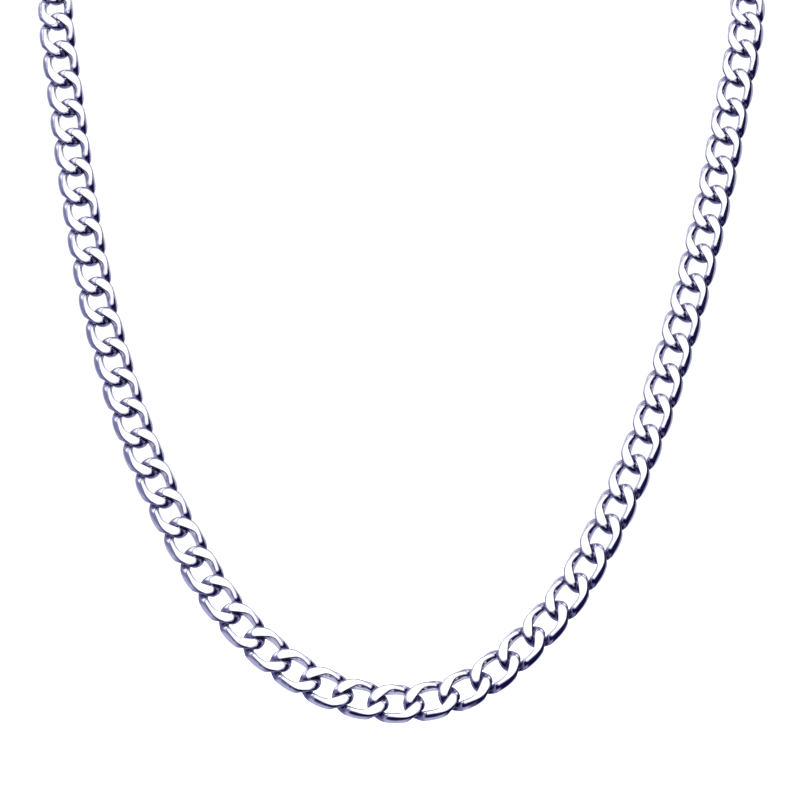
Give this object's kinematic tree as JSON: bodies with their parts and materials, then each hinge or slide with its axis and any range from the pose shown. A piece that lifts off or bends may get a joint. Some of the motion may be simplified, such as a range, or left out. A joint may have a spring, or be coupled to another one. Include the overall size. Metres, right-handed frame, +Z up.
{
  "type": "curb chain necklace",
  "caption": "Flat curb chain necklace of interlocking twisted links, held in the loop that it hangs in when it is worn, with a barrel clasp at the nape.",
  "frame": {"origin": "skin side of the clasp, in the middle of the nape, where the loop rests on the neck", "axes": "+Z up as worn, -Y the way the wearer faces, +X to the right of someone who looks at the wearer"},
  "size_m": [0.145, 0.143, 0.1795],
  "materials": {
    "chain": "polished steel, ground flat on both faces",
    "clasp": "polished steel"
  },
  "bodies": {
    "root": {"chain_left": "chain", "chain_right": "chain", "clasp": "clasp"}
  },
  "joints": []
}
